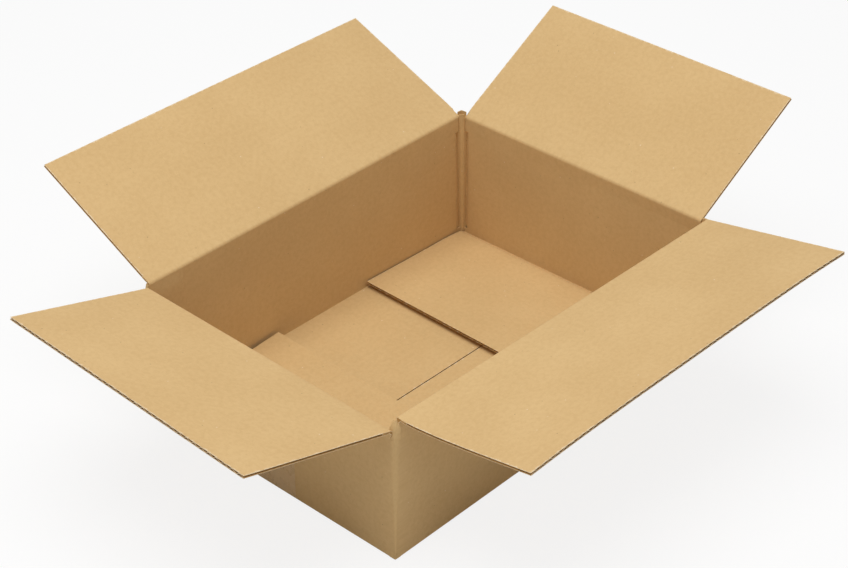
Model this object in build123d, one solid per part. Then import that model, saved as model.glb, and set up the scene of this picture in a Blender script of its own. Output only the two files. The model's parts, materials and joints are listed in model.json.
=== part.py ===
from build123d import *
from math import cos, radians, sin, sqrt, tan
import os

# A regular slotted carton standing open: one sheet of single-wall corrugated board,
# scored, slotted and glued to a tube, with its bottom flaps folded in and taped and
# its four top flaps bent outwards. Millimetres, +Z up, origin at the middle of the
# footprint on the surface that it stands on. X runs along the long walls.

# Inside of the carton with every flap closed
INSIDE_LENGTH = 305.0
INSIDE_WIDTH = 220.0
INSIDE_HEIGHT = 91.0

# The board: two flat liners with a waved paper between them
BOARD = 3.0
LINER = 0.35
WAVED_PAPER = 0.35
FLUTE_PITCH = 6.5
FLUTE_CREST = 0.45

# Scores: where the board is pressed flat so that it bends
SCORE_HALF = 0.35        # half the thickness of the pressed board
SCORE_MITRE = 0.2        # how far each side of a score stands back from its 45 degree mitre
SCORE_CLEAR = 0.25       # from the root of a flap to the wall below it
SCORE_RELIEF = 1.7       # how far the outer edge of a wall's score lies below the crease
CRUSHED_LENGTH = 6.0     # flutes are crushed shut for this far beside a crease

# Upright corners, which are scored too
CORNER_RADIUS = 1.8
BEAD_RADIUS = 3.3
BEAD_INSET = 0.3
BEAD_CLEARANCE = 0.3     # below the closed short flaps
GROOVE_RADIUS = 0.8
GROOVE_FROM_CORNER = 4.6
SLOT_PAST_CREASE = 1.6   # the top slots stop this far beyond the long creases
SLOT_CLEARANCE = 0.5     # between a flap's side and the corner beside it
CORNER_FOOT = 0.4        # the corners stop just short of the table

# Top flaps
FLAP_GAP = 1.0           # between the two long flaps when they are closed
LONG_FLAP_INSET = 2.0    # from each end of a long flap to the inside of the short walls
SHORT_FLAP_INSET = 2.5
CREASE_STEP = 3.3        # the short flaps close under the long ones
FLAP_CORNER = 1.2
OPEN_ANGLES = {          # from straight up to where each flap stands
    "front": 79.0,
    "back": 66.0,
    "left": 74.5,
    "right": 62.0,
}

# Bottom flaps
SEAM_GAP = 1.0
LIFTED_FLAP_ANGLE = 1.8  # the short bottom flap on the right has sprung up a little

# Glue tab, inside the back wall at its left end
TAB_WIDTH = 31.0
TAB_THICKNESS = 1.2
TAB_SLANT = 14.0
TAB_END_CLEARANCE = 1.5
TAB_CORNER = (-1, 1)     # which upright corner it starts from: left and back

# Tape over the bottom seam, pressed flush into the board
TAPE_WIDTH = 50.0
TAPE_THICKNESS = 0.15
TAPE_UP_WALL = 50.0

HALF_LENGTH = INSIDE_LENGTH / 2
HALF_WIDTH = INSIDE_WIDTH / 2
CREASE_DEPTH = BOARD - SCORE_HALF            # inner face of the board to the hinge line
SHORT_CREASE_Z = 2 * BOARD + INSIDE_HEIGHT + CREASE_DEPTH
LONG_CREASE_Z = SHORT_CREASE_Z + CREASE_STEP
CORNER_TOP_Z = LONG_CREASE_Z + SLOT_PAST_CREASE
BEAD_TOP_Z = 2 * BOARD + INSIDE_HEIGHT - BEAD_CLEARANCE
BOTTOM_FLAP_REACH = HALF_WIDTH - SEAM_GAP / 2      # the same for all four
FLAP_LENGTH = HALF_WIDTH + CREASE_DEPTH - FLAP_GAP / 2
LONG_FLAP_WIDTH = INSIDE_LENGTH - 2 * LONG_FLAP_INSET
SHORT_FLAP_WIDTH = INSIDE_WIDTH - 2 * SHORT_FLAP_INSET

UP = Vector(0, 0, 1)
OUTWARD = {
    "front": Vector(0, -1, 0),
    "back": Vector(0, 1, 0),
    "left": Vector(-1, 0, 0),
    "right": Vector(1, 0, 0),
}
LONG_SIDES = ("front", "back")


def is_long(side):
    return side in LONG_SIDES


def inner_face(side):
    """Middle of a wall's inner face, at floor level."""
    return OUTWARD[side] * (HALF_WIDTH if is_long(side) else HALF_LENGTH)


def flap_width(side):
    return LONG_FLAP_WIDTH if is_long(side) else SHORT_FLAP_WIDTH


def crease_height(side):
    return LONG_CREASE_Z if is_long(side) else SHORT_CREASE_Z


def wall_plane(side):
    """Across a wall: x outwards from its inner face, y up."""
    out = OUTWARD[side]
    return Plane(origin=inner_face(side), x_dir=out, z_dir=out.cross(UP))


def flute_outlines(width):
    """The hollows of one board, seen at a cut end: x along the board's width, y from
    its middle towards its outer face. Hollows under one liner alternate with hollows
    over the other, and the waved paper slants between them at about 45 degrees."""
    top = BOARD / 2 - LINER
    slanted = WAVED_PAPER * sqrt(2)
    narrow = FLUTE_CREST / 2
    wide = FLUTE_PITCH / 2 - slanted - narrow
    outlines = []
    room = width / 2 - wide - LINER
    steps = int(2 * room / (FLUTE_PITCH / 2))
    for step in range(steps + 1):
        x = (step - steps / 2) * FLUTE_PITCH / 2
        y = top if step % 2 == 0 else -top
        outlines.append([(x - wide, y), (x + wide, y), (x + narrow, -y), (x - narrow, -y)])
    return outlines


def flute_channels(end_plane, width, depth):
    """Open flutes, cut into a board from its free end. The plane looks out of the end,
    with its origin at the middle of the board's thickness."""
    holes = Sketch() + [make_face(Polyline(*points, close=True)) for points in flute_outlines(width)]
    return extrude(end_plane * holes, amount=-depth)


def top_flap(side):
    """One flap, from its pressed score out to the cut edge where the flutes show."""
    angle = radians(OPEN_ANGLES[side])
    out = OUTWARD[side]
    along = out * sin(angle) + UP * cos(angle)
    width = flap_width(side)
    hinge = inner_face(side) + out * CREASE_DEPTH + UP * crease_height(side)
    across = Plane(origin=hinge, x_dir=along, z_dir=UP.cross(out))

    outer = SCORE_HALF
    inner = SCORE_HALF - BOARD
    root = RadiusArc((0, inner + CREASE_DEPTH - SCORE_HALF), (0, outer), SCORE_HALF)
    face = make_face([
        root,
        Line(root @ 1, (FLAP_LENGTH, outer)),
        Line((FLAP_LENGTH, outer), (FLAP_LENGTH, inner)),
        Line((FLAP_LENGTH, inner), (SCORE_MITRE - inner, inner)),
        Line((SCORE_MITRE - inner, inner), (SCORE_MITRE + SCORE_HALF, -SCORE_HALF)),
        Line((SCORE_MITRE + SCORE_HALF, -SCORE_HALF), root @ 0),
    ])
    flap = extrude(across * face, amount=width / 2, both=True)

    end = Plane(
        origin=across.from_local_coords((FLAP_LENGTH, (outer + inner) / 2, 0)),
        x_dir=-across.z_dir,
        z_dir=along,
    )
    free_corners = flap.edges().filter_by(Axis(hinge, across.y_dir)).sort_by(Axis(hinge, along))[-2:]
    flap = fillet(free_corners, FLAP_CORNER)
    return flap - flute_channels(end, width, FLAP_LENGTH - CRUSHED_LENGTH)


def panel_top(side):
    """Where a wall's inner face ends and the mitre of its score begins."""
    return crease_height(side) - CREASE_DEPTH - SCORE_MITRE


def wall(side):
    """One wall, with the band along its top that ends in the score."""
    long = is_long(side)
    plane = wall_plane(side)
    length = INSIDE_LENGTH if long else INSIDE_WIDTH
    low = BOARD if long else 2 * BOARD
    crease = crease_height(side)
    top = panel_top(side)

    panel = make_face(Polyline((0, low), (BOARD, low), (BOARD, top), (0, top), close=True))
    mitre_top = crease - SCORE_HALF - SCORE_CLEAR
    mitre_reach = mitre_top - top
    band = make_face(Polyline(
        (0, top), (mitre_reach, mitre_top), (BOARD, crease - SCORE_RELIEF), (BOARD, top), close=True))
    return (
        extrude(plane * panel, amount=length / 2, both=True)
        + extrude(plane * band, amount=flap_width(side) / 2, both=True)
    )


def bottom_flap(side):
    """The fold at the foot of a wall and the flap that it turns into, with open flutes.
    The long flaps lie outside and meet at the seam, the short ones lie on top of them."""
    long = is_long(side)
    plane = wall_plane(side)
    low = 0 if long else BOARD
    lift = radians(LIFTED_FLAP_ANGLE) if side == "right" else 0
    reach = BOTTOM_FLAP_REACH

    def at(distance, height):
        return (-distance * cos(lift) - height * sin(lift), low + distance * sin(lift) + height * cos(lift))

    fold = RadiusArc((BOARD, low + BOARD), (0, low), BOARD)
    face = make_face([
        fold,
        Line((0, low), at(reach, 0)),
        Line(at(reach, 0), at(reach, BOARD)),
        Line(at(reach, BOARD), (0, low + BOARD)),
        Line((0, low + BOARD), (BOARD, low + BOARD)),
    ])
    width = flap_width(side)
    flap = extrude(plane * face, amount=width / 2, both=True)

    x, y = at(reach, BOARD / 2)
    inwards = -(plane.x_dir * cos(lift)) + UP * sin(lift)
    end = Plane(origin=plane.from_local_coords((x, y, 0)), x_dir=plane.z_dir, z_dir=inwards)
    return flap, flute_channels(end, width, reach - CRUSHED_LENGTH)


def corner_post(x_side, y_side):
    """A scored upright corner: nearly sharp outside, with a raised bead inside. Its top
    and its foot are the ends of the slots that part one flap from the next."""
    x = x_side * HALF_LENGTH
    y = y_side * HALF_WIDTH
    along_x = x_side * (LONG_FLAP_INSET - SLOT_CLEARANCE)
    along_y = y_side * (SHORT_FLAP_INSET - SLOT_CLEARANCE)
    outer_x = x + x_side * BOARD
    outer_y = y + y_side * BOARD
    outline = make_face(Polyline(
        (x - along_x, y),
        (x - along_x, outer_y),
        (outer_x, outer_y),
        (outer_x, y - along_y),
        (x, y - along_y),
        close=True))
    outer_corner = outline.vertices().sort_by_distance(Vector(0, 0, 0))[-1]
    outline = fillet(outer_corner, CORNER_RADIUS)
    post = extrude(Pos(0, 0, CORNER_FOOT) * outline, amount=CORNER_TOP_Z - CORNER_FOOT)

    bead = Pos(x - x_side * BEAD_INSET, y - y_side * BEAD_INSET) * Circle(BEAD_RADIUS)
    bead &= Pos(x - x_side * BEAD_RADIUS, y - y_side * BEAD_RADIUS) * Rectangle(
        2 * BEAD_RADIUS + BOARD, 2 * BEAD_RADIUS + BOARD)
    return post + extrude(Pos(0, 0, 2 * BOARD) * bead, amount=BEAD_TOP_Z - 2 * BOARD)


def corner_grooves(x_side, y_side):
    """The pressed grooves beside a corner's bead, one in each wall."""
    face_y = HALF_WIDTH - (TAB_THICKNESS if (x_side, y_side) == TAB_CORNER else 0)
    sink = GROOVE_RADIUS / 3
    centres = [
        (x_side * (HALF_LENGTH - GROOVE_FROM_CORNER), y_side * (face_y - sink)),
        (x_side * (HALF_LENGTH - sink), y_side * (HALF_WIDTH - GROOVE_FROM_CORNER)),
    ]
    grooves = Sketch() + [Pos(*centre) * Circle(GROOVE_RADIUS) for centre in centres]
    return extrude(Pos(0, 0, 2 * BOARD) * grooves, amount=BEAD_TOP_Z - 2 * BOARD)


def glue_tab():
    """The end of the sheet: a pressed tab from the left wall, glued inside the back wall."""
    low = 2 * BOARD + TAB_END_CLEARANCE
    high = panel_top("back") - TAB_END_CLEARANCE
    slant = TAB_WIDTH * tan(radians(TAB_SLANT))
    outline = make_face(Polyline(
        (-HALF_LENGTH, low),
        (-HALF_LENGTH + TAB_WIDTH, low + slant),
        (-HALF_LENGTH + TAB_WIDTH, high - slant),
        (-HALF_LENGTH, high),
        close=True))
    plane = Plane(origin=(0, HALF_WIDTH, 0), x_dir=(1, 0, 0), z_dir=(0, -1, 0))
    return extrude(plane * outline, amount=TAB_THICKNESS)


def bottom_tape():
    """One strip under the seam, turned up over both short walls."""
    half = HALF_LENGTH + BOARD
    wrap = Pos(0, TAPE_UP_WALL / 2) * Rectangle(2 * half, TAPE_UP_WALL)
    inside = Pos(0, (TAPE_UP_WALL + TAPE_THICKNESS) / 2) * Rectangle(
        2 * (half - TAPE_THICKNESS), TAPE_UP_WALL - TAPE_THICKNESS)
    wrap = fillet(wrap.vertices().sort_by(Axis.Y)[:2], BOARD)
    inside = fillet(inside.vertices().sort_by(Axis.Y)[:2], BOARD - TAPE_THICKNESS)
    return extrude(Plane.XZ * (wrap - inside), amount=TAPE_WIDTH / 2, both=True)


def carton_body(tape):
    """Walls, corners, glue tab and bottom flaps: all the sheet that no longer moves."""
    body = Part() + [wall(side) for side in OUTWARD]
    corners = [(x_side, y_side) for x_side in (-1, 1) for y_side in (-1, 1)]
    body = body + [corner_post(*corner) for corner in corners]
    body = body + glue_tab()
    body = body - [corner_grooves(*corner) for corner in corners]
    for side in OUTWARD:
        flap, channels = bottom_flap(side)
        body = body + (flap - channels)
    return body - tape


tape = bottom_tape()
nodes = {"carton_body": carton_body(tape), "bottom_tape": tape}
for side in OUTWARD:
    nodes[f"top_flap_{side}"] = top_flap(side)

os.makedirs("parts", exist_ok=True)
for name, shape in nodes.items():
    export_step(shape, f"parts/{name}.step")
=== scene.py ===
import json
from math import cos, exp, pi, radians, sin

import bmesh
import bpy
import numpy as np
from mathutils import Matrix, Vector


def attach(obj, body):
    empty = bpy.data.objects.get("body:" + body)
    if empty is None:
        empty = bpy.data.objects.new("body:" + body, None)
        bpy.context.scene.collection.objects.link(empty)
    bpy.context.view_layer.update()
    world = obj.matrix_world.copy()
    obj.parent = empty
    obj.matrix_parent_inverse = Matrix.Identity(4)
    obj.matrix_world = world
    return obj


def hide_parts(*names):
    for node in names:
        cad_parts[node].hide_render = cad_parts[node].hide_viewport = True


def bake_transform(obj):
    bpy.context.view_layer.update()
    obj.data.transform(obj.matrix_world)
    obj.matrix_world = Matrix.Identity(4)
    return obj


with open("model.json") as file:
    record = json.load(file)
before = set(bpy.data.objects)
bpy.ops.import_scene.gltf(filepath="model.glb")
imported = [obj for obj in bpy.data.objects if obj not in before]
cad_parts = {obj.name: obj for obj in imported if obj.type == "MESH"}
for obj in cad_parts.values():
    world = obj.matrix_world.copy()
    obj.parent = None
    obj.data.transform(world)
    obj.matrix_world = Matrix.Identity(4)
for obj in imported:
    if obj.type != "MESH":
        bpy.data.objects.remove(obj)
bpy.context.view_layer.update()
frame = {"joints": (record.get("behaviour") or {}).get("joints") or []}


# The kraft liner of the board: brown unbleached paper, pressed flat, with long fibres,
# a cloudy formation and stray specks. Faint ribs show where the flutes lie under it.
# The UV map "blank" holds places on the unfolded sheet in metres, flutes along V.
FLUTE_PITCH = 0.0065
KRAFT = (0.662, 0.447, 0.206)
KRAFT_LIGHT = (0.732, 0.517, 0.255)
KRAFT_DARK = (0.556, 0.357, 0.151)
FLECK_AND_RIM_HIGHLIGHT = (0.86, 0.74, 0.56)
SPECK = (0.21, 0.125, 0.055)


def new_material(name):
    material = bpy.data.materials.new(name)
    material.use_nodes = True
    material.node_tree.nodes.clear()
    return material, material.node_tree


def add(tree, kind, inputs=None, **settings):
    """A node with its settings, and its inputs given as values or as sockets to link."""
    node = tree.nodes.new(kind)
    for key, value in settings.items():
        setattr(node, key, value)
    for key, value in (inputs or {}).items():
        if isinstance(value, bpy.types.NodeSocket):
            tree.links.new(value, node.inputs[key])
        else:
            node.inputs[key].default_value = value
    return node


def maths(tree, operation, *values, clamp=False):
    node = add(tree, "ShaderNodeMath", dict(enumerate(values)), operation=operation, use_clamp=clamp)
    return node.outputs[0]


def noise(tree, place, scale, detail=3.0, roughness=0.55, stretch=(1, 1, 1), turn=0.0):
    """Noise whose features are 1/scale metres wide, stretched and turned on the sheet."""
    mapping = add(tree, "ShaderNodeMapping", {"Vector": place, "Rotation": (0, 0, turn), "Scale": stretch})
    texture = add(tree, "ShaderNodeTexNoise", {
        "Vector": mapping.outputs[0], "Scale": scale, "Detail": detail, "Roughness": roughness})
    return texture.outputs["Fac"]


def spread(tree, value, low, high, to_low=0.0, to_high=1.0):
    node = add(tree, "ShaderNodeMapRange", {
        "Value": value, "From Min": low, "From Max": high, "To Min": to_low, "To Max": to_high})
    return node.outputs[0]


def blend_colour(tree, factor, first, second, mode="MIX"):
    node = add(tree, "ShaderNodeMix", data_type="RGBA", blend_type=mode)
    for index, value in ((0, factor), (6, first), (7, second)):
        if isinstance(value, bpy.types.NodeSocket):
            tree.links.new(value, node.inputs[index])
        elif isinstance(value, tuple):
            node.inputs[index].default_value = (*value, 1.0)
        else:
            node.inputs[index].default_value = value
    return node.outputs[2]


def specks(tree, place, per_metre, size, share):
    """Small spots: a share of the cells of a fine mosaic get one each."""
    cells = add(tree, "ShaderNodeTexVoronoi", {"Vector": place, "Scale": per_metre, "Randomness": 1.0})
    spot = spread(tree, cells.outputs["Distance"], size, size * 0.5)
    chance = add(tree, "ShaderNodeSeparateColor", {"Color": cells.outputs["Color"]}).outputs[0]
    return maths(tree, "MULTIPLY", spot, maths(tree, "GREATER_THAN", chance, 1 - share))


def kraft_liner(name, base, light, dark):
    material, tree = new_material(name)
    place = add(tree, "ShaderNodeUVMap", uv_map="blank").outputs[0]
    clouds = noise(tree, place, 16, detail=3)
    formation = noise(tree, place, 300, detail=4, roughness=0.7)
    grain = noise(tree, place, 1100, detail=2, roughness=0.6)
    long_fibres = noise(tree, place, 520, detail=2, stretch=(4, 0.45, 1), turn=0.25)
    cross_fibres = noise(tree, place, 520, detail=2, stretch=(0.5, 3.5, 1), turn=-0.5)

    colour = blend_colour(tree, spread(tree, clouds, 0.35, 0.68, 0.75, 1.0), dark, base)
    colour = blend_colour(tree, spread(tree, clouds, 0.45, 0.75, 0, 0.22), colour, light)
    colour = blend_colour(tree, spread(tree, formation, 0.45, 0.75, 0.0, 0.38), colour, light)
    colour = blend_colour(tree, spread(tree, formation, 0.52, 0.25, 0.0, 0.40), colour, dark)
    colour = blend_colour(tree, spread(tree, grain, 0.4, 0.7, 0.0, 0.16), colour, dark)
    colour = blend_colour(tree, spread(tree, long_fibres, 0.60, 0.75, 0, 0.35), colour, light)
    colour = blend_colour(tree, spread(tree, cross_fibres, 0.60, 0.78, 0, 0.38), colour, dark)
    flecks = maths(tree, "MULTIPLY", specks(tree, place, 210, 0.11, 0.06), 0.65)
    dark_specks = maths(tree, "MULTIPLY", specks(tree, place, 260, 0.12, 0.05), 0.7)
    colour = blend_colour(tree, flecks, colour, FLECK_AND_RIM_HIGHLIGHT)
    colour = blend_colour(tree, dark_specks, colour, SPECK)

    across = add(tree, "ShaderNodeSeparateXYZ", {"Vector": place}).outputs[0]
    ribs = maths(tree, "SINE", maths(tree, "MULTIPLY", across, 2 * pi / FLUTE_PITCH))
    patchy = spread(tree, noise(tree, place, 30, detail=2), 0.35, 0.65, 0.2, 1.0)
    ribs = maths(tree, "MULTIPLY", ribs, patchy)
    colour = blend_colour(tree, spread(tree, ribs, -1, 1, 0.0, 0.06), colour, dark)

    # Pale rims, partly rubbed paper and partly a painted highlight where the flaps' edges catch the light:
    # "rim" holds the distances to the nearest side and end of the panel
    rim = add(tree, "ShaderNodeAttribute", attribute_name="rim", attribute_type="GEOMETRY")
    rim_x, rim_y = add(tree, "ShaderNodeSeparateXYZ", {"Vector": rim.outputs["Vector"]}).outputs[:2]
    nearest = maths(tree, "MINIMUM", rim_x, rim_y)
    ragged = spread(tree, formation, 0.3, 0.7, -0.0004, 0.0014)
    rubbed_and_highlight = maths(tree, "MULTIPLY", maths(tree, "LESS_THAN", nearest, ragged), 0.4)
    colour = blend_colour(tree, rubbed_and_highlight, colour, FLECK_AND_RIM_HIGHLIGHT)

    relief = add(tree, "ShaderNodeBump", {"Height": ribs, "Distance": 0.00002, "Strength": 1.0})
    relief = add(tree, "ShaderNodeBump", {
        "Height": noise(tree, place, 14, detail=3), "Distance": 0.0004, "Strength": 1.0,
        "Normal": relief.outputs[0]})
    relief = add(tree, "ShaderNodeBump", {
        "Height": formation, "Distance": 0.00007, "Strength": 0.8, "Normal": relief.outputs[0]})
    relief = add(tree, "ShaderNodeBump", {
        "Height": long_fibres, "Distance": 0.00003, "Strength": 0.7, "Normal": relief.outputs[0]})
    shader = add(tree, "ShaderNodeBsdfPrincipled", {
        "Base Color": colour, "Roughness": 0.78, "Specular IOR Level": 0.25,
        "Sheen Weight": 0.06, "Normal": relief.outputs[0]})
    add(tree, "ShaderNodeOutputMaterial", {"Surface": shader.outputs[0]})
    return material


liner_material = kraft_liner("kraft_liner", KRAFT, KRAFT_LIGHT, KRAFT_DARK)


# The board's cut edges: torn paler fibres where the knife went through the liners, and
# the waved paper between them, which is thinner, browner and always in shade.
CUT_PALE = (0.90, 0.74, 0.50)
CUT_SHADE = (0.66, 0.48, 0.28)
WAVED_BROWN = (0.58, 0.33, 0.115)
WAVED_SHADE = (0.40, 0.22, 0.07)


def paper_edge(name, pale, shade, scale, roughness):
    material, tree = new_material(name)
    place = add(tree, "ShaderNodeTexCoord").outputs["Object"]
    fuzz = noise(tree, place, scale, detail=4, roughness=0.7)
    hairs = noise(tree, place, scale * 2.5, detail=2, stretch=(1, 1, 4))
    colour = blend_colour(tree, spread(tree, fuzz, 0.35, 0.65), shade, pale)
    colour = blend_colour(tree, spread(tree, hairs, 0.5, 0.75, 0, 0.5), colour, shade)
    relief = add(tree, "ShaderNodeBump", {"Height": fuzz, "Distance": 0.0002, "Strength": 0.9})
    shader = add(tree, "ShaderNodeBsdfPrincipled", {
        "Base Color": colour, "Roughness": roughness, "Specular IOR Level": 0.2,
        "Normal": relief.outputs[0]})
    add(tree, "ShaderNodeOutputMaterial", {"Surface": shader.outputs[0]})
    return material


cut_material = paper_edge("cut_kraft_edge", CUT_PALE, CUT_SHADE, 700, 0.95)
# The waved paper's colour also covers the bottom flaps' cut edges, where it is painted shade.
waved_material = paper_edge("waved_paper", WAVED_BROWN, WAVED_SHADE, 350, 0.9)


# Flat corrugated board: an outer and an inner liner with the waved paper glued between
# them. A node tree lays the three papers, open at every cut edge, in the board's own
# frame: X across the flutes, Y along them, Z from the inner liner to the outer one.
BOARD = 0.003
LINER = 0.00042
WAVED = 0.0005
STEPS_PER_FLUTE = 12
FAR_FROM_RIM = 0.05
SHEET_AROUND = 1.074


def board_tree():
    tree = bpy.data.node_groups.new("Corrugated board", "GeometryNodeTree")
    face = tree.interface
    face.new_socket("Geometry", in_out="INPUT", socket_type="NodeSocketGeometry")
    for name in ("Width", "Length", "Thickness", "Liner", "Waved paper", "Pitch", "Shift"):
        face.new_socket(name, in_out="INPUT", socket_type="NodeSocketFloat")
    for name in ("Steps across", "Steps along", "Wave steps"):
        face.new_socket(name, in_out="INPUT", socket_type="NodeSocketInt")
    for name in ("Liner material", "Waved material"):
        face.new_socket(name, in_out="INPUT", socket_type="NodeSocketMaterial")
    face.new_socket("Geometry", in_out="OUTPUT", socket_type="NodeSocketGeometry")
    given = tree.nodes.new("NodeGroupInput").outputs

    def slab(thickness, steps_across):
        size = add(tree, "ShaderNodeCombineXYZ", {0: given["Width"], 1: given["Length"], 2: thickness})
        box = add(tree, "GeometryNodeMeshCube", {
            "Size": size.outputs[0], "Vertices X": steps_across, "Vertices Y": given["Steps along"]})
        return box.outputs["Mesh"]

    def raised(mesh, height):
        offset = add(tree, "ShaderNodeCombineXYZ", {2: height})
        return add(tree, "GeometryNodeSetPosition", {
            "Geometry": mesh, "Offset": offset.outputs[0]}).outputs[0]

    half = maths(tree, "MULTIPLY", given["Thickness"], 0.5)
    reach = maths(tree, "SUBTRACT", half, maths(tree, "MULTIPLY", given["Liner"], 0.5))
    outer = raised(slab(given["Liner"], given["Steps across"]), reach)
    inner = raised(slab(given["Liner"], given["Steps across"]), maths(tree, "MULTIPLY", reach, -1))

    crest = maths(tree, "SUBTRACT", half, given["Liner"])
    crest = maths(tree, "SUBTRACT", crest, maths(tree, "MULTIPLY", given["Waved paper"], 0.5))
    position = add(tree, "GeometryNodeInputPosition")
    across = add(tree, "ShaderNodeSeparateXYZ", {0: position.outputs[0]}).outputs[0]
    turn = maths(tree, "DIVIDE", maths(tree, "ADD", across, given["Shift"]), given["Pitch"])
    height = maths(tree, "MULTIPLY", maths(tree, "SINE", maths(tree, "MULTIPLY", turn, 2 * pi)), crest)
    waved = raised(slab(given["Waved paper"], given["Wave steps"]), height)
    marked = add(tree, "GeometryNodeStoreNamedAttribute", {
        "Geometry": waved, "Name": "is_waved", "Value": True}, data_type="BOOLEAN", domain="FACE")

    joined = tree.nodes.new("GeometryNodeJoinGeometry")
    for mesh in (outer, inner, marked.outputs[0]):
        tree.links.new(mesh, joined.inputs[0])
    real = add(tree, "GeometryNodeRealizeInstances", {0: joined.outputs[0]})
    lined = add(tree, "GeometryNodeSetMaterial", {
        "Geometry": real.outputs[0], "Material": given["Liner material"]})
    is_waved = add(tree, "GeometryNodeInputNamedAttribute", {"Name": "is_waved"}, data_type="BOOLEAN")
    done = add(tree, "GeometryNodeSetMaterial", {
        "Geometry": lined.outputs[0], "Selection": is_waved.outputs[0],
        "Material": given["Waved material"]})
    result = tree.nodes.new("NodeGroupOutput")
    tree.links.new(done.outputs[0], result.inputs[0])
    return tree


corrugated_board = board_tree()


def new_piece(name, mesh):
    piece = bpy.data.objects.new(name, mesh)
    bpy.context.scene.collection.objects.link(piece)
    return piece


def lay_board(name, width, length, shift=0.0, steps_across=48, steps_along=16):
    """One flat board as a plain mesh, from the node tree."""
    piece = new_piece(name, bpy.data.meshes.new(name))
    modifier = piece.modifiers.new("board", "NODES")
    modifier.node_group = corrugated_board
    values = {
        "Width": width, "Length": length, "Thickness": BOARD, "Liner": LINER, "Waved paper": WAVED,
        "Pitch": FLUTE_PITCH, "Shift": shift, "Steps across": steps_across, "Steps along": steps_along,
        "Wave steps": int(width / FLUTE_PITCH * STEPS_PER_FLUTE) + 1,
        "Liner material": liner_material, "Waved material": waved_material,
    }
    for item in corrugated_board.interface.items_tree:
        if item.in_out == "INPUT" and item.name in values:
            modifier[item.identifier] = values[item.name]
    shown = piece.evaluated_get(bpy.context.evaluated_depsgraph_get())
    mesh = bpy.data.meshes.new_from_object(shown)
    piece.modifiers.clear()
    piece.data = mesh
    return piece


def finish_board(piece, width, length, blank_place, shape, edge_material, pale_rim_narrowing=0.0):
    """Marks the cut edges, gives the sheet its places on the blank and the distances to
    its rims, and then bends it from its own frame to where it lies."""
    mesh = piece.data
    count = len(mesh.vertices)
    flat = np.empty(count * 3)
    mesh.vertices.foreach_get("co", flat)
    flat = flat.reshape(-1, 3)
    given = [mesh.materials[face.material_index] for face in mesh.polygons]
    mesh.materials.clear()
    for material in (liner_material, waved_material, edge_material):
        mesh.materials.append(material)
    for face, material in zip(mesh.polygons, given):
        is_waved = material == waved_material
        is_edge = abs(face.normal.y) > 0.9 if is_waved else abs(face.normal.z) < 0.5
        face.material_index = 2 if is_edge else int(is_waved)

    # Distances to the rims set the pale rim of rubbed paper and painted highlight; the narrowing shrinks
    # it.
    rims = np.zeros((count, 3))
    rims[:, 0] = width / 2 - np.abs(flat[:, 0]) + pale_rim_narrowing
    rims[:, 1] = length / 2 - flat[:, 1] + pale_rim_narrowing
    write_rims(mesh, rims)
    write_blank(mesh, np.array([blank_place(x, y) for x, y in flat[:, :2]]))
    bent = np.array([shape(*point) for point in flat])
    mesh.vertices.foreach_set("co", bent.ravel())
    mesh.update()
    return piece


def write_rims(mesh, rims=None):
    """Stores how far each vertex is from the nearest side and end of its panel, which sets the pale rim:
    rubbed paper and a painted highlight. Bands and walls, which have no pale rim, are far from both."""
    if rims is None:
        rims = np.full((len(mesh.vertices), 3), FAR_FROM_RIM)
    mesh.attributes.new("rim", "FLOAT_VECTOR", "POINT").data.foreach_set("vector", rims.ravel())


def write_blank(mesh, places):
    """Stores each vertex's place on the unfolded sheet as the UV map "blank". A face that
    closes the ring of walls runs on past the sheet's end."""
    layer = mesh.uv_layers.new(name="blank")
    for face in mesh.polygons:
        around = places[list(face.vertices)]
        if np.ptp(around[:, 0]) > SHEET_AROUND / 2:
            around[around[:, 0] < SHEET_AROUND / 5, 0] += SHEET_AROUND
        for loop, place in zip(face.loop_indices, around):
            layer.data[loop].uv = place


# The top flaps: the sheet's four free ends, bent outwards past their scores and left
# standing at odd angles. Their free edges show the open flutes. Each is twisted and out
# of square by a few millimetres, and the front one bows down beside the near corner.
UP = Vector((0, 0, 1))
CREASE_DEPTH = 0.00265
OUTER_FACE = BOARD - CREASE_DEPTH
FLAP_LENGTH = 0.11215
STRIP = 0.006
LONG_FLAP_WIDTH = 0.301
SHORT_FLAP_WIDTH = 0.215
PERIMETER_PLACE = {"left": 0.1325, "front": 0.401, "right": 0.6695, "back": 0.938}
END_TWISTS = {
    "front": (0.6, 0.05),
    "right": (0.05, -0.6),
    "back": (1.3, -2.0),
    "left": (-1.2, 1.2),
}
# How far each corner of a flap is from its true place, in millimetres: the ends of the
# crease, beyond the walls' own lean, and then the free corners
CORNER_SHIFTS = {
    "front": ((-0.6, 0.1, 1.0), (0.6, -0.4, -0.2), (-3.4, 2.7, -0.4), (-0.5, 0.1, 0)),
    "right": ((-0.6, 1.4, 0.2), (0, -0.25, 2.0), (0, 1.05, 0), (0, 0.8, 0.8)),
    "back": ((0.3, 0, -0.7), (0.8, 0, -1.6), (-0.25, 0.7, 0), (2.5, 0, -2.4)),
    "left": ((0, -0.5, 1.1), (-2.4, -2.5, -2.7), (1.8, -0.45, 0), (-1.15, 1.15, -2.0)),
}
BOW = 0.00195
BOW_FADE = 0.09
BOW_LEAN = 0.6          # below 1, the bow is deepest nearer the crease
ARCH = 0.002
ARCH_CURVE = 1.5
ROOT_TAPER = 0.0010
ROOT_TAPER_FROM = 0.0068
ROOT_TAPER_FULL = 0.0035
TAPERED_LENGTH = 0.006
TAPERED_ENDS = {"back": -1, "right": 1}
SIDE_CRUSH = (0.36, 0.005)
END_CRUSH = (0.33, 0.007)

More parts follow.
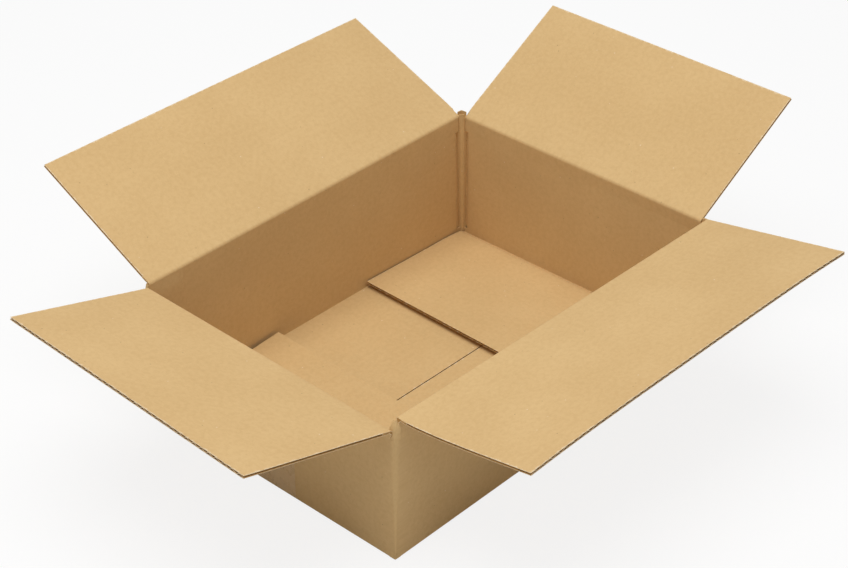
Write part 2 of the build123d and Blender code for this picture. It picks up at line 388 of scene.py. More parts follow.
sides = {}
for joint in frame["joints"]:
    name = joint["child"].removeprefix("flap_")
    out = Vector(joint["axis"]).cross(UP)
    sides[name] = {
        "body": joint["child"],
        "hinge": Vector(joint["pos_m"]),
        "out": out,
        "along": UP.cross(out),
        "rest": radians(-joint["range_deg"][0] - 90),
        "is_long": abs(out.y) > 0.5,
        "width": LONG_FLAP_WIDTH if abs(out.y) > 0.5 else SHORT_FLAP_WIDTH,
        "twists": [radians(angle) for angle in END_TWISTS[name]],
        "shifts": [Vector(shift) / 1000 for shift in CORNER_SHIFTS[name]],
    }

HALF_LENGTH = abs(sides["right"]["hinge"].x) - CREASE_DEPTH
HALF_WIDTH = abs(sides["back"]["hinge"].y) - CREASE_DEPTH
TOP_LEANS = {(-1, -1): (0.0022, -0.0022), (1, -1): (0.0017, -0.0017)}
FOOT_LEANS = {(-1, -1): (0.0001, -0.0010), (1, -1): (0.0004, 0.0005), (-1, 1): (0.0004, 0)}
LEAN_HEIGHT = 0.1
MOST_LEAN = 1.05


def leaned(point):
    """The carton has been pushed a little out of square, most of all at its top."""
    x = max(-1.0, min(1.0, point.x / HALF_LENGTH))
    y = max(-1.0, min(1.0, point.y / HALF_WIDTH))
    height = min(MOST_LEAN, point.z / LEAN_HEIGHT)
    moved = Vector(point)
    for leans, share in ((TOP_LEANS, height), (FOOT_LEANS, 1 - height)):
        for (sx, sy), (dx, dy) in leans.items():
            weight = (1 + sx * x) * (1 + sy * y) / 4 * share
            moved.x += dx * weight
            moved.y += dy * weight
    return moved


def between(start, end, share):
    return start + (end - start) * share


def smooth(value):
    value = max(0.0, min(1.0, value))
    return value * value * (3 - 2 * value)


def flap_angle(side, t):
    """How far the flap is turned from upright at this place along its crease."""
    return side["rest"] + between(*side["twists"], t / side["width"] + 0.5)


def tapered(name, t, s):
    """At the back corner the flaps' roots are cut back to clear the tall corner bead."""
    end = TAPERED_ENDS.get(name, 0)
    into_end = smooth((end * t - sides[name]["width"] / 2 + TAPERED_LENGTH) / TAPERED_LENGTH)
    at_root = smooth((ROOT_TAPER_FROM - s) / (ROOT_TAPER_FROM - ROOT_TAPER_FULL))
    return t - end * ROOT_TAPER * into_end * at_root


def on_flap(name, t, s, h):
    """A point of a flap: t along the crease, s out from it, h towards the outer face."""
    side = sides[name]
    angle = flap_angle(side, t)
    outwards = side["out"] * sin(angle) + UP * cos(angle)
    outer = side["out"] * cos(angle) - UP * sin(angle)
    if name == "front":
        from_end = t + side["width"] / 2
        share = max(0.0, min(1.0, s / FLAP_LENGTH))
        h += BOW * exp(-(from_end / BOW_FADE) ** 2) * sin(pi * share ** BOW_LEAN)
        h -= ARCH * (1 - (2 * t / side["width"]) ** 4) * share ** ARCH_CURVE
    crease = leaned(side["hinge"] + side["along"] * t) - side["along"] * t
    u = t / side["width"] + 0.5
    v = max(0.0, s / FLAP_LENGTH)
    root_minus, root_plus, free_minus, free_plus = side["shifts"]
    lean = crease - side["hinge"]
    shift = (between(root_minus, root_plus, u) + lean) * (1 - v)
    shift += between(free_minus, free_plus, u) * v
    return side["hinge"] + shift + side["along"] * tapered(name, t, s) + outwards * s + outer * h


def crushed(x, y, z, width, length, to_end=1):
    """The knife has pinched the board along its side edges and at its free end, so the
    outer liner comes up towards the inner one."""
    by_side, side_reach = SIDE_CRUSH
    by_end, end_reach = END_CRUSH
    at_side = by_side * smooth((abs(x) - width / 2 + side_reach) / side_reach)
    at_end = by_end * smooth((to_end * y - length / 2 + end_reach) / end_reach)
    return (z + BOARD / 2) * (1 - max(at_side, at_end)) - BOARD / 2


for name, side in sides.items():
    length = FLAP_LENGTH - STRIP
    crease_v = side["hinge"].z
    # the waved paper ends against the outer liner at the side edge that is in the open
    open_side = -1 if name in ("front", "right") else 1
    shift = (0.25 - open_side * side["width"] / 2 / FLUTE_PITCH) % 1 * FLUTE_PITCH
    flap = lay_board(f"flap_{name}", side["width"], length, shift=shift)
    finish_board(
        flap, side["width"], length,
        lambda x, y: (PERIMETER_PLACE[name] + x, crease_v + STRIP + length / 2 + y),
        lambda x, y, z: on_flap(
            name, x, STRIP + length / 2 + y,
            OUTER_FACE - BOARD / 2 + crushed(x, y, z, side["width"], length)),
        cut_material)
    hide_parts(f"top_flap_{name}")
    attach(flap, side["body"])


# The scores between walls and flaps: bands where the board is pressed flat and bends.
# Inside, the liner rolls smoothly round the hinge line; outside, it folds into a crease.
# Each band reaches from the wall round onto its flap, at the flap's resting angle.
WALL_TOP = 0.0915
ARC_STEPS = 10
SLOT_CLEARANCE = 0.0005
CAP_RIM = 0.0003
SCORE_COLUMNS = 61
CLOSE_COLUMNS = (0.0011, 0.0022, 0.0033, 0.0044)    # in from each end, where the board is pinched
UP_THE_WALL = (0, 0.35, 0.7, 0.9)
UP_THE_FLAP = (0.2, 0.6, 1)
NIP = 0.0002
FOLD_FROM = 0.0007
# The crease down the outer face of the wall: how far out, how far below the hinge line,
# and how much of the pinch it takes
OUTER_CREASE = ((CREASE_DEPTH, 0.0006, 0.9), (BOARD - NIP, 0.0014, 0.9), (BOARD, 0.0028, 0.7))
# How far the inner liner bulges at the score, at both ends of each crease
ROLLS = {"front": (0.001, 0), "right": (0, 0), "back": (0, 0), "left": (0, 0)}


def solid_from_rings(name, rings, places):
    """A closed band through rings of points, all with the same number of points. Its two
    ends are cut edges: the liners' pale rim round the darker waved paper."""
    count = len(rings[0])
    vertices = [point for ring in rings for point in ring]
    faces = []
    for i in range(len(rings) - 1):
        for j in range(count):
            a = i * count + j
            b = i * count + (j + 1) % count
            faces.append((a, b, b + count, a + count))
    faces.append(tuple(reversed(range(count))))
    faces.append(tuple(range((len(rings) - 1) * count, len(rings) * count)))
    mesh = bpy.data.meshes.new(name)
    mesh.from_pydata([tuple(v) for v in vertices], [], faces)
    write_blank(mesh, np.array(places))
    write_rims(mesh)
    for material in (liner_material, waved_material, cut_material):
        mesh.materials.append(material)
    work = bmesh.new()
    work.from_mesh(mesh)
    bmesh.ops.recalc_face_normals(work, faces=work.faces)
    work.faces.ensure_lookup_table()
    caps = work.faces[-2:]
    cut_rims = bmesh.ops.inset_individual(work, faces=caps, thickness=CAP_RIM, use_even_offset=True)
    for face in cut_rims["faces"]:
        face.material_index = 2
    for face in caps:
        face.material_index = 1
    work.to_mesh(mesh)
    work.free()
    return mesh


def face_outwards(mesh):
    work = bmesh.new()
    work.from_mesh(mesh)
    bmesh.ops.recalc_face_normals(work, faces=work.faces)
    work.to_mesh(mesh)
    work.free()


def smooth_by_angle(piece, limit=35):
    with bpy.context.temp_override(object=piece, active_object=piece, selected_objects=[piece],
                                   selected_editable_objects=[piece]):
        bpy.ops.object.shade_smooth_by_angle(angle=radians(limit), keep_sharp_edges=False)


def crease_section(name, t):
    """The band's outline at one place along the crease, with each point's V on the blank."""
    side = sides[name]
    angle = flap_angle(side, t)
    crease = side["hinge"].z
    u = t / side["width"] + 0.5
    rise = between(*side["shifts"][:2], u)
    touching = t * (1 + 2 * SLOT_CLEARANCE / side["width"])
    roll = between(*ROLLS[name], u)
    reach = SIDE_CRUSH[1]
    pinch = BOARD * SIDE_CRUSH[0] * smooth((abs(t) - side["width"] / 2 + reach) / reach)
    points = []

    def wall_point(depth, z):
        place = side["hinge"] + side["along"] * touching
        place += side["out"] * (depth - CREASE_DEPTH)
        place.z = z
        points.append((leaned(place) + rise * (z - WALL_TOP) / (crease - WALL_TOP), z))

    def flap_point(s, h):
        points.append((on_flap(name, t, s, h), crease + s))

    for share in UP_THE_WALL:
        wall_point(0, WALL_TOP + (crease - WALL_TOP) * share)
    root = on_flap(name, t, 0, 0)
    for step in range(ARC_STEPS + 1):
        turned = angle * step / ARC_STEPS
        middle = 1 - abs(2 * step / ARC_STEPS - 1)
        radius = CREASE_DEPTH + roll * smooth(middle)
        place = root - side["out"] * cos(turned) * radius + UP * sin(turned) * radius
        place += side["along"] * (t - tapered(name, t, 0)) * (1 - step / ARC_STEPS)
        points.append((place, crease + 0.001 * step / ARC_STEPS))
    for share in UP_THE_FLAP:
        flap_point(STRIP * share, OUTER_FACE - BOARD)
    flap_point(STRIP, OUTER_FACE - pinch)
    flap_point(STRIP * 0.6, OUTER_FACE - pinch)
    flap_point(STRIP * 0.25, OUTER_FACE - NIP - pinch)
    flap_point(FOLD_FROM, -NIP - pinch * 0.9)
    for depth, below, pinched in OUTER_CREASE:
        wall_point(depth - pinch * pinched, crease - below)
    wall_point(BOARD, WALL_TOP)
    return points


def band_along(piece_name, name, columns, section_at):
    """A band whose section is known at any place along a wall."""
    sections = [section_at(name, t) for t in columns]
    rings = [[point for point, v in section] for section in sections]
    places = [(PERIMETER_PLACE[name] + t, v)
              for t, section in zip(columns, sections) for point, v in section]
    return solid_from_rings(piece_name, rings, places)


for name, side in sides.items():
    half = side["width"] / 2
    near_ends = [end * (half - inset) for end in (-1, 1) for inset in CLOSE_COLUMNS]
    columns = np.sort(np.append(np.linspace(-half, half, SCORE_COLUMNS), near_ends))
    band = new_piece(f"score_{name}", band_along(f"score_{name}", name, columns, crease_section))
    smooth_by_angle(band, 40)
    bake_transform(band)


# The carton's walls: one ring of board, scored at its four upright corners. Outside, a
# corner is nearly sharp; inside, the liner is pressed into two grooves with a raised
# bead between them. The sheet's two ends meet at the back left corner.
WALL_FOOT = 0.0075
CORNER_RADIUS = 0.0018
NEAR_CORNER = (-1, -1)
NEAR_RADII = (0.0011, 0.0040)
BEAD_RADII = (0.0017, 0.0031)
BEAD_INSET = 0.0003
GROOVE_DEPTH = 0.0020
GROOVE_WIDTH = 0.0027
GROOVE_FLANK = ((1, 0.12), (0.7, 0.6), (0.4, 1), (0.1, 0.8))    # shares of its width and depth
BEAD_ANGLES = (3, 12, 21, 30, 45)
FLAT_FROM_CORNER = 0.0068
STRAIGHT_FROM_CORNER = 0.0078
WALL_STEP = 0.012
BEAD_FADE_FROM = 0.078
GROOVE_FADE_FROM = 0.0885
TALL_BEAD = (1, 1)
JOINT_CORNER = (-1, 1)
# The glued joint from above: the liners of the folded wall and of the cut end beside it
JOINT_PROFILE = [
    (0.0002, 0.003), (0.0006, 0.003), (0.0009, 0.0028), (0.0010, 0.0024), (0.0010, 0.0014),
    (0.0013, 0.0009), (0.0017, 0.0009), (0.0020, 0.0013), (0.0023, 0.0018), (0.0026, 0.0020),
    (0.0028, 0.0018), (0.0029, 0.0014), (0.0030, 0.0009), (0.0030, 0.0005), (0.0030, 0.0),
    (0.0030, -0.0006), (0.0030, -0.0012), (0.0030, -0.0018), (0.0030, -0.0024)]
CORNERS = [(-1, 1, "left"), (-1, -1, "front"), (1, -1, "right"), (1, 1, "back")]
TURNS = {
    (-1, 1): (Vector((1, 0, 0)), Vector((0, -1, 0))),
    (-1, -1): (Vector((0, 1, 0)), Vector((1, 0, 0))),
    (1, -1): (Vector((-1, 0, 0)), Vector((0, 1, 0))),
    (1, 1): (Vector((0, -1, 0)), Vector((-1, 0, 0))),
}


def inner_corner(bead, groove, radius):
    """The inner liner round a corner, as distances back along the first wall and out
    along the second: in along the first, over groove and bead, and out again. The share
    of the bead goes from 1, fully raised, to 0, where the two walls meet in a plain corner."""
    edge = BEAD_INSET + radius
    half = [(FLAT_FROM_CORNER, 0.0)]
    half += [(edge + GROOVE_WIDTH * far, -GROOVE_DEPTH * deep * groove) for far, deep in GROOVE_FLANK]
    for angle in BEAD_ANGLES:
        across = BEAD_INSET + radius * cos(radians(angle))
        out = BEAD_INSET + radius * sin(radians(angle))
        half.append((across * (bead + (1 - bead) * (1 - angle / 45)), out * bead))
    return half + [(b, a) for a, b in reversed(half[:-1])]


def outer_corner(is_joint, count, radius):
    """The outer liner round a corner, as distances out from the inner corner. At the
    glued joint the back wall's cut end stops short of the folded left wall."""
    if is_joint:
        return JOINT_PROFILE[:count]
    points = []
    for step in range(count):
        angle = (pi / 2) * step / (count - 1)
        points.append((
            BOARD - radius + radius * sin(angle),
            BOARD - radius + radius * cos(angle)))
    return points


def corner_points(sx, sy, z):
    """Pairs of inner and outer points round one corner, and how far each is past it. The
    beads fade out below the scores, but for the back corner's."""
    before, after = TURNS[(sx, sy)]
    corner = Vector((sx * HALF_LENGTH, sy * HALF_WIDTH, 0))
    bead = 1.0
    if (sx, sy) != TALL_BEAD:
        bead = 1 - smooth((z - BEAD_FADE_FROM) / (WALL_TOP - BEAD_FADE_FROM))
    groove = bead * (1 - smooth((z - GROOVE_FADE_FROM) / (WALL_TOP - GROOVE_FADE_FROM)))
    height = smooth(z / WALL_TOP)
    inner_profile = inner_corner(bead, groove, between(*BEAD_RADII, height))
    radius = between(*NEAR_RADII, height) if (sx, sy) == NEAR_CORNER else CORNER_RADIUS
    outer_profile = outer_corner((sx, sy) == JOINT_CORNER, len(inner_profile), radius)
    points = []
    for (a, b), (p, q) in zip(inner_profile, outer_profile):
        points.append((corner + before * a + after * b, corner - after * q - before * p, b - a))
    return points


def wall_ring(z):
    """The outline of the four walls from above: pairs of inner and outer points, and how
    far round the sheet each pair is."""
    ring = []
    for sx, sy, side in CORNERS:
        before, after = TURNS[(sx, sy)]
        corner = Vector((sx * HALF_LENGTH, sy * HALF_WIDTH, 0))
        length = 2 * (HALF_LENGTH if sides[side]["is_long"] else HALF_WIDTH)
        start = PERIMETER_PLACE[side] - length / 2
        ring += [(inner, outer, start + past) for inner, outer, past in corner_points(sx, sy, z)]
        steps = int(length / WALL_STEP)
        for step in range(steps):
            past = between(STRAIGHT_FROM_CORNER, length - STRAIGHT_FROM_CORNER, step / (steps - 1))
            inner = corner + after * past
            ring.append((inner, inner - before * BOARD, start + past))
    return ring


def upright_tube(name, outlines, levels, closed, drops=(0.0, 0.0)):
    """Board that follows an outline from above at each of its levels. At the top its
    inner and outer faces may end lower, by their drops."""
    count = len(outlines[0])
    vertices, places, faces = [], [], []
    for ring, z in zip(outlines, levels):
        for side in (0, 1):
            height = z - drops[side] if z == levels[-1] else z
            vertices += [leaned(Vector((pair[side].x, pair[side].y, height))) for pair in ring]
            places += [(pair[2], height) for pair in ring]
    last = count if closed else count - 1
    for row in range(len(levels) - 1):
        low = row * 2 * count
        high = low + 2 * count
        for j in range(last):
            k = (j + 1) % count
            faces.append((low + j, low + k, high + k, high + j))
            faces.append((low + count + k, low + count + j, high + count + j, high + count + k))
        if not closed:
            faces.append((low, high, high + count, low + count))
            faces.append((low + count - 1, low + 2 * count - 1,
                          high + 2 * count - 1, high + count - 1))
    top = (len(levels) - 1) * 2 * count
    for j in range(last):
        k = (j + 1) % count
        faces.append((top + j, top + k, top + count + k, top + count + j))
        faces.append((k, j, count + j, count + k))
    mesh = bpy.data.meshes.new(name)
    mesh.from_pydata([tuple(v) for v in vertices], [], faces)
    write_blank(mesh, np.array(places))
    write_rims(mesh)
    mesh.materials.append(liner_material)
    face_outwards(mesh)
    return mesh


levels = [float(z) for z in np.linspace(WALL_FOOT, GROOVE_FADE_FROM, 15)] + [WALL_TOP]
walls = new_piece("walls", upright_tube("walls", [wall_ring(z) for z in levels], levels, True))
smooth_by_angle(walls, 45)
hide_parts("carton_body")
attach(walls, "carton")


# The ends of the upright corners, which stand between the slots above and below the
# walls. The back corner's top and all the lower ends show the two liners with crushed
# paper between them; the other three tops are pressed shut and bevelled outwards.
LONG_LIMB = 0.0015
SHORT_LIMB = 0.002
RIGHT_SHORT_LIMB = 0.0034
CORNER_TOPS = {(-1, 1): 0.1045, (-1, -1): 0.1045, (1, -1): 0.1035, (1, 1): 0.1057}
BEVELS = {(-1, 1): 0.002, (-1, -1): 0.0045, (1, -1): 0.0013}
TORN_LEVELS = (WALL_TOP, 0.098, 0.1008, 0.1045)
TORN_SHARES = (1.0, 0.8, 0.25, 0.14)
CORNER_FOOT = 0.0006
CORE_SINK = 0.0006
TALL_CORE_SINK = 0.0028
PRESSED_LINERS = (0.14, 0.86)       # where the core of a foot's end begins and stops
TALL_LINERS = (0.06, 0.9)


def corner_end(sx, sy, side, z, first, last):
    """The pairs round a corner as far as the slots on both sides, from share first to
    share last of the board's thickness."""
    before, after = TURNS[(sx, sy)]
    corner = Vector((sx * HALF_LENGTH, sy * HALF_WIDTH, 0))
    start = PERIMETER_PLACE[side] - (HALF_LENGTH if sides[side]["is_long"] else HALF_WIDTH)
    at_top = z >= WALL_TOP
    short_limb = RIGHT_SHORT_LIMB if (sx, sy) == (1, -1) and at_top else SHORT_LIMB
    before_limb = LONG_LIMB if abs(before.x) > 0.5 else short_limb
    after_limb = LONG_LIMB if abs(after.x) > 0.5 else short_limb
    flank = len(GROOVE_FLANK) + 1
    pairs = []
    for inner, outer, past in corner_points(sx, sy, z)[flank:-flank]:
        if at_top and (sx, sy) != TALL_BEAD:
            into_before = min((inner - corner).dot(before), before_limb)
            into_after = min((inner - corner).dot(after), after_limb)
            inner = corner + before * into_before + after * into_after
        pairs.append((inner, outer, start + past))
    first_outer = corner + before * before_limb - after * BOARD
    last_outer = corner + after * after_limb - before * BOARD
    pairs[0] = (pairs[0][0], first_outer, pairs[0][2])
    pairs[-1] = (pairs[-1][0], last_outer, pairs[-1][2])
    return [(between(i, o, first), between(i, o, last), u) for i, o, u in pairs]


def join(name, meshes):
    """Several meshes as one piece."""
    parts = [new_piece(name, mesh) for mesh in meshes]
    with bpy.context.temp_override(active_object=parts[0], object=parts[0],
                                   selected_objects=parts, selected_editable_objects=parts):
        bpy.ops.object.join()
    return parts[0]


ends = []
for sx, sy, side in CORNERS:
    top = CORNER_TOPS[(sx, sy)]
    core_from, core_to = PRESSED_LINERS
    layers = [
        (0, core_from, CORNER_FOOT, WALL_FOOT, 0),
        (core_from, core_to, CORNER_FOOT + CORE_SINK, WALL_FOOT, 0),
        (core_to, 1, CORNER_FOOT, WALL_FOOT, 0)]
    if (sx, sy) == TALL_BEAD:
        core_from, core_to = TALL_LINERS
        layers += [
            (0, core_from, WALL_TOP, top, 0),
            (core_from, core_to, WALL_TOP, top - TALL_CORE_SINK, 0),
            (core_to, 1, WALL_TOP, top, 0)]
    elif (sx, sy) == JOINT_CORNER:
        outlines = [corner_end(sx, sy, side, z, 0, share) for z, share in zip(TORN_LEVELS, TORN_SHARES)]
        torn = upright_tube("corner_end", outlines, TORN_LEVELS, False, (0.0, BEVELS[(sx, sy)]))
        ends.append(torn)
    else:
        layers += [(0, 1, WALL_TOP, top, BEVELS[(sx, sy)])]
    for first, last, bottom, top, bevel in layers:
        outline = corner_end(sx, sy, side, bottom, first, last)
        drops = (bevel * first, bevel * last)
        mesh = upright_tube("corner_end", [outline, outline], (bottom, top), False, drops)
        mesh.materials[0] = waved_material if 0 < first < 0.2 else liner_material
        ends.append(mesh)
corner_ends = join("corner_ends", ends)
smooth_by_angle(corner_ends, 40)
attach(corner_ends, "carton")


# The bottom flaps: the two short ones lie on the two long ones, which meet at a seam in
# the middle. The short ones have sprung up a little, and all four are folded in round
# the foot of their wall and held by the tape underneath.
BOTTOM_REACH = HALF_WIDTH - 0.0004
FOLD_STEPS = 8
FOOT_COLUMNS = 49
FOLD_REACH = 0.006
FOLD_RADIUS = 0.0011
UNDERSIDE = 0.00012
FOOT = 0.0002
RIGHT_ALONG = 0.0015
RIGHT_ALONG_FROM = 0.02
RISE_CURVE = 1.4
FLUTE_STARTS = {"front": 0.0085, "back": 0.0068, "left": 0.0068, "right": 0.0085}
# How much each bottom flap's pale rim, rubbed paper and painted highlight, is narrowed, in metres.
PALE_RIM_NARROWINGS = {"front": 0.0004, "back": 0.0004, "left": 0.0012, "right": 0.0004}
# The pressed fold of a short flap: how far in, and its lower and upper face, in millimetres.
# It hangs in the gap beside the long flaps' ends, and climbs onto them.
SHORT_FOLD = (
    (0.3, 0.7, 3.6), (0.8, 1.2, 3.75), (1.4, 2.2, 4.5),
    (2.2, 3.05, 5.0), (3.2, 3.1, 5.5), (4.6, 3.12, 5.9))
LONG_FOLD = ((0.3, 0.12, 3.1), (1.2, 0.12, 3.12), (3.2, 0.12, 3.12))
# How far each flap's free edge lies past its even reach and above its level place, in
# millimetres: at the start and at the end of its wall
BOTTOM_SHIFTS = {
    "front": ((-2.6, 0), (-3.2, 0)),
    "back": ((3.2, 0), (2.6, 0)),
    "left": ((-0.6, 4.9), (-0.4, 0.3)),
    "right": ((0.5, 3.3), (-4.6, 2.5)),
}


def on_bottom(name, t, d, h):
    """A point of a bottom flap: t along the wall, d in from its inner face, h up from
    the flap's lower face."""
    side = sides[name]
    low = UNDERSIDE if side["is_long"] else BOARD + UNDERSIDE
    along = t / side["width"] + 0.5
    reach, rise = (between(start, end, along) / 1000 for start, end in zip(*BOTTOM_SHIFTS[name]))
    share = max(0.0, d / BOTTOM_REACH)
    place = side["hinge"] - side["out"] * (CREASE_DEPTH + d + reach * share) + side["along"] * t
    if name == "right":
        place += side["along"] * RIGHT_ALONG * smooth(d / RIGHT_ALONG_FROM)
    place.z = low + h + rise * share ** RISE_CURVE
    return leaned(place)


for name, side in sides.items():
    length = BOTTOM_REACH - FOLD_REACH
    flap = lay_board(
        f"bottom_flap_{name}", side["width"], length, shift=FLUTE_STARTS[name], steps_along=12)
    # The bottom flaps' cut edges take the dark waved paper colour, not the pale cut colour: painted shade
    # for the seam between them and the gaps beneath them.
    finish_board(
        flap, side["width"], length,
        lambda x, y: (PERIMETER_PLACE[name] + x, -FOLD_REACH - length / 2 - y),
        lambda x, y, z: on_bottom(
            name, x, FOLD_REACH + length / 2 + y,
            BOARD / 2 - crushed(x, y, z, side["width"], length)),
        waved_material, pale_rim_narrowing=PALE_RIM_NARROWINGS[name])
    face_outwards(flap.data)
    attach(flap, "carton")


def foot_section(name, t):
    """The fold's outline at one place along the wall: down its outer face, under to the
    flap, and back over the top to the wall's inner face."""
    side = sides[name]
    low = UNDERSIDE if side["is_long"] else FOOT
    fold = LONG_FOLD if side["is_long"] else SHORT_FOLD
    flat = UNDERSIDE if side["is_long"] else BOARD + UNDERSIDE
    touching = t * (1 + 2 * SLOT_CLEARANCE / side["width"])
    inner_face = side["hinge"] - side["out"] * CREASE_DEPTH
    points = []

    def on_wall(u, z, place):
        point = inner_face + side["along"] * place + side["out"] * u
        point.z = z
        points.append((leaned(point), z - max(0.0, -u)))

    on_wall(BOARD, WALL_FOOT, touching)
    for step in range(FOLD_STEPS + 1):
        angle = (pi / 2) * step / FOLD_STEPS
        on_wall(BOARD - FOLD_RADIUS * (1 - cos(angle)), low + FOLD_RADIUS * (1 - sin(angle)), touching)
    for d, lower, upper in fold:
        points.append((on_bottom(name, t, d / 1000, lower / 1000 - flat), -d / 1000))
    points.append((on_bottom(name, t, FOLD_REACH, 0), -FOLD_REACH))
    points.append((on_bottom(name, t, FOLD_REACH, BOARD), -FOLD_REACH))
    for d, lower, upper in reversed(fold):
        points.append((on_bottom(name, t, d / 1000, upper / 1000 - flat), -d / 1000))
    on_wall(0, fold[0][2] / 1000 + 0.0003, t)
    on_wall(0, WALL_FOOT, touching)
    return points


feet = []
for name, side in sides.items():
    columns = np.linspace(-side["width"] / 2, side["width"] / 2, FOOT_COLUMNS)
    feet.append(band_along("foot", name, columns, foot_section))
foot_folds = join("foot_folds", feet)
smooth_by_angle(foot_folds, 40)
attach(foot_folds, "carton")


# The glue tab: a pressed strip of the sheet's end, with slanted ends, glued flat inside
# the back wall beside the left corner.
TAB_REACH = 0.031
TAB_THICKNESS = 0.0007
TAB_ROUNDED = 0.0003
TAB_SUNK = 0.0001
TAB_SLANT_LOW = 0.0077
TAB_SLANT_HIGH = 0.001
TAB_LOW = 0.0075
TAB_HIGH = 0.1022
TAB_FADE_FROM = 0.092


def thin_sheet_faces(outer, inner):
    """The faces of a closed thin sheet, whose two sides are grids of outer by inner points."""
    size = outer * inner
    faces = []
    for i in range(outer - 1):
        for j in range(inner - 1):
            a = i * inner + j
            faces.append((a, a + 1, a + inner + 1, a + inner))
            faces.append((size + a, size + a + inner, size + a + inner + 1, size + a + 1))
    border = list(range(inner)) + [i * inner + inner - 1 for i in range(1, outer)]
    border += [(outer - 1) * inner + j for j in range(inner - 2, -1, -1)]
    border += [i * inner for i in range(outer - 2, 0, -1)]
    for a, b in zip(border, border[1:] + border[:1]):
        faces.append((a, b, b + size, a + size))
    return faces


def tab_mesh():
    columns, rows = 9, 31
    vertices, places = [], []
    for face in (0, 1):
        for i in range(columns):
            share = i / (columns - 1)
            x = -HALF_LENGTH + TAB_REACH * share
            for j in range(rows):
                low = TAB_LOW + TAB_SLANT_LOW * share
                high = TAB_HIGH - TAB_SLANT_HIGH * share
                z = low + (high - low) * j / (rows - 1)
                rounded = TAB_ROUNDED if i == columns - 1 or j == 0 else 0.0
                faded = smooth((z - TAB_FADE_FROM) / (high - TAB_FADE_FROM))
                thick = (TAB_THICKNESS - rounded) * (1 - faded)
                y = HALF_WIDTH + TAB_SUNK if face == 0 else HALF_WIDTH - thick
                vertices.append(tuple(leaned(Vector((x, y, z)))))
                places.append((PERIMETER_PLACE["left"] - HALF_WIDTH - TAB_REACH * share, z))
    mesh = bpy.data.meshes.new("glue_tab")
    mesh.from_pydata(vertices, [], thin_sheet_faces(columns, rows))
    write_blank(mesh, np.array(places))
    write_rims(mesh)
    mesh.materials.append(liner_material)
    face_outwards(mesh)
    return mesh


glue_tab = new_piece("glue_tab", tab_mesh())
smooth_by_angle(glue_tab, 30)
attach(glue_tab, "carton")


# The parcel tape: thin brown film with glue on its back, over the bottom seam and up
# both short walls. Torn off on a toothed blade, so both ends are cut in small zigzags.
TAPE_HALF = 0.025
TAPE_UP = 0.05
TAPE_TEETH = 20
TAPE_TOOTH = 0.0011
TAPE_FILM = 0.00008
TAPE_PROUD = 0.00006
TAPE_MITRE = 0.7
TAPE_FOLD = 0.0019
TAPE_BROWN = (0.60, 0.41, 0.215)
TAPE_STREAK = (0.66, 0.47, 0.26)
TAPE_BUBBLE = (0.74, 0.56, 0.34)


def tape_finish():
    material, tree = new_material("parcel_tape")
    place = add(tree, "ShaderNodeTexCoord").outputs["Object"]
    streaks = noise(tree, place, 90, detail=3, stretch=(0.15, 1, 0.15))
    bubbles = noise(tree, place, 160, detail=4, roughness=0.6)
    creases = noise(tree, place, 30, detail=2, stretch=(1, 2.5, 1))
    colour = blend_colour(tree, spread(tree, streaks, 0.35, 0.65), TAPE_BROWN, TAPE_STREAK)
    colour = blend_colour(tree, spread(tree, bubbles, 0.55, 0.7, 0, 0.35), colour, TAPE_BUBBLE)
    relief = add(tree, "ShaderNodeBump", {"Height": creases, "Distance": 0.0006, "Strength": 0.7})
    relief = add(tree, "ShaderNodeBump", {
        "Height": bubbles, "Distance": 0.00008, "Strength": 0.8, "Normal": relief.outputs[0]})
    gloss = spread(tree, bubbles, 0.3, 0.7, 0.22, 0.38)
    shader = add(tree, "ShaderNodeBsdfPrincipled", {
        "Base Color": colour, "Roughness": gloss, "Specular IOR Level": 0.5,
        "Normal": relief.outputs[0]})
    add(tree, "ShaderNodeOutputMaterial", {"Surface": shader.outputs[0]})
    return material


def tape_mesh():
    """The film follows a path up one wall, under the bottom and up the other."""
    half = HALF_LENGTH + BOARD
    path = [(-half, TAPE_UP), (-half, TAPE_UP * 0.6), (-half, TAPE_UP * 0.25)]
    for step in range(7):
        angle = (pi / 2) * step / 6
        path.append((-half + TAPE_FOLD - TAPE_FOLD * cos(angle), TAPE_FOLD - TAPE_FOLD * sin(angle)))
    path += [(-half * 0.6, 0), (-half * 0.2, 0)]
    path += [(-x, z) for x, z in reversed(path)]
    across = np.linspace(-TAPE_HALF, TAPE_HALF, 2 * TAPE_TEETH + 1)
    vertices = []
    for layer in (0.0, TAPE_FILM):
        for i, (x, z) in enumerate(path):
            for j, y in enumerate(across):
                notch = TAPE_TOOTH * (j % 2) if i in (0, len(path) - 1) else 0.0
                inwards = 1 if x < 0 else -1
                inwards_x = layer * inwards if abs(x) > half - TAPE_FOLD else 0.0
                if z >= TAPE_FOLD:
                    place = Vector((x + inwards_x - TAPE_PROUD * inwards, y, z - notch))
                else:
                    place = Vector((x + inwards_x * TAPE_MITRE, y, z + layer))
                vertices.append(tuple(leaned(place)))
    mesh = bpy.data.meshes.new("tape")
    mesh.from_pydata(vertices, [], thin_sheet_faces(len(path), len(across)))
    mesh.materials.append(tape_finish())
    face_outwards(mesh)
    return mesh


tape = new_piece("tape", tape_mesh())
smooth_by_angle(tape, 40)
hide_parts("bottom_tape")
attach(tape, "carton")


# The studio: a pale floor, a large soft light overhead towards the viewer's left and
# an even white surround.
FLOOR_EDGE = 4.0
FLOOR_DROP = 0.0002
LIGHT_PLACE = (-0.25, -0.08, 1.6)
LIGHT_SIZE = 1.3
LIGHT_POWER = 20.5
SURROUND = 0.36
FLOOR_GREY = 0.88
FLOOR_WHITENING = 0.84


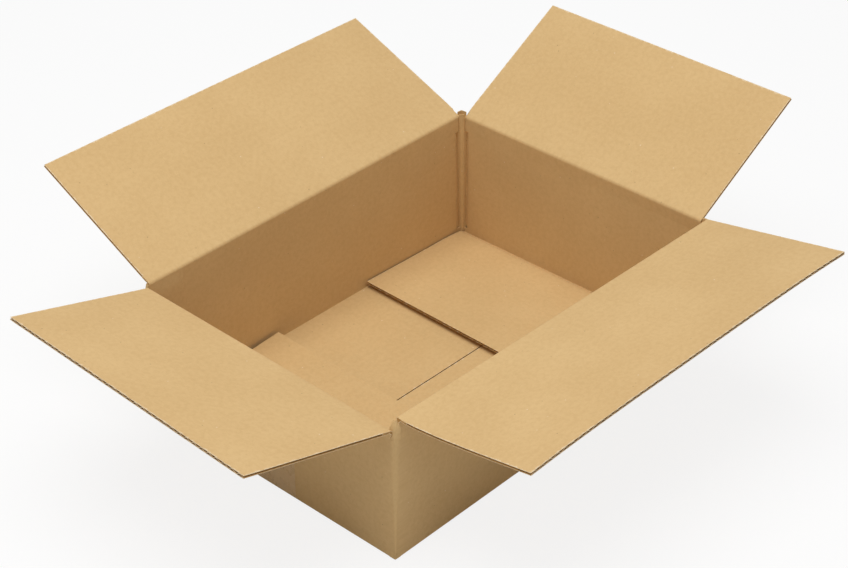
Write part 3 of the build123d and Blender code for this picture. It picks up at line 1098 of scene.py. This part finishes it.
def floor_finish():
    """Pale paper: to the camera it is whitened, and still takes the carton's shadow."""
    material, tree = new_material("studio_floor")
    paper = add(tree, "ShaderNodeBsdfPrincipled", {
        "Base Color": (FLOOR_GREY, FLOOR_GREY, FLOOR_GREY, 1), "Roughness": 0.9, "Specular IOR Level": 0.1})
    white = add(tree, "ShaderNodeEmission", {"Color": (1, 1, 1, 1), "Strength": 1.0})
    rays = add(tree, "ShaderNodeLightPath")
    share = maths(tree, "MULTIPLY", rays.outputs["Is Camera Ray"], FLOOR_WHITENING)
    mixed = add(tree, "ShaderNodeMixShader", {0: share, 1: paper.outputs[0], 2: white.outputs[0]})
    add(tree, "ShaderNodeOutputMaterial", {"Surface": mixed.outputs[0]})
    return material


mesh = bpy.data.meshes.new("floor")
floor_corners = [(sx * FLOOR_EDGE, sy * FLOOR_EDGE, -FLOOR_DROP)
                 for sx, sy in ((-1, -1), (1, -1), (1, 1), (-1, 1))]
mesh.from_pydata(floor_corners, [], [(0, 1, 2, 3)])
mesh.materials.append(floor_finish())
floor = new_piece("floor", mesh)

lamp = bpy.data.lights.new("softbox", "AREA")
lamp.shape = "SQUARE"
lamp.size = LIGHT_SIZE
lamp.energy = LIGHT_POWER
softbox = bpy.data.objects.new("softbox", lamp)
softbox.location = LIGHT_PLACE
softbox.rotation_euler = (-Vector(softbox.location)).to_track_quat("-Z", "Y").to_euler()
bpy.context.scene.collection.objects.link(softbox)

world = bpy.data.worlds.new("surround")
world.use_nodes = True
tree = world.node_tree
tree.nodes.clear()
rays = add(tree, "ShaderNodeLightPath")
strength = maths(tree, "MAXIMUM", rays.outputs["Is Camera Ray"], SURROUND)
background = add(tree, "ShaderNodeBackground", {"Color": (1, 1, 1, 1), "Strength": strength})
add(tree, "ShaderNodeOutputWorld", {"Surface": background.outputs[0]})
bpy.context.scene.world = world
bpy.context.scene.view_settings.view_transform = "Standard"


# The camera: where the photograph was taken from, worked out from the carton's straight
# edges. Heading and pitch are the way it looks, and roll is its tilt about that line.
CAMERA_PLACE = (-0.8310, -0.7856, 0.8327)
HEADING = -45.81
PITCH = 35.717
ROLL = -1.252
LENS = 86.67
SENSOR = 36.0
SHIFT_X = 0.01845
SHIFT_Y = 0.09669
lens = bpy.data.cameras.new("camera")
lens.lens = LENS
lens.sensor_width = SENSOR
lens.shift_x = SHIFT_X
lens.shift_y = SHIFT_Y
camera = bpy.data.objects.new("camera", lens)
camera.matrix_world = (
    Matrix.Translation(CAMERA_PLACE)
    @ Matrix.Rotation(radians(HEADING), 4, "Z")
    @ Matrix.Rotation(radians(90 - PITCH), 4, "X")
    @ Matrix.Rotation(radians(ROLL), 4, "Z"))
bpy.context.scene.collection.objects.link(camera)
bpy.context.scene.camera = camera
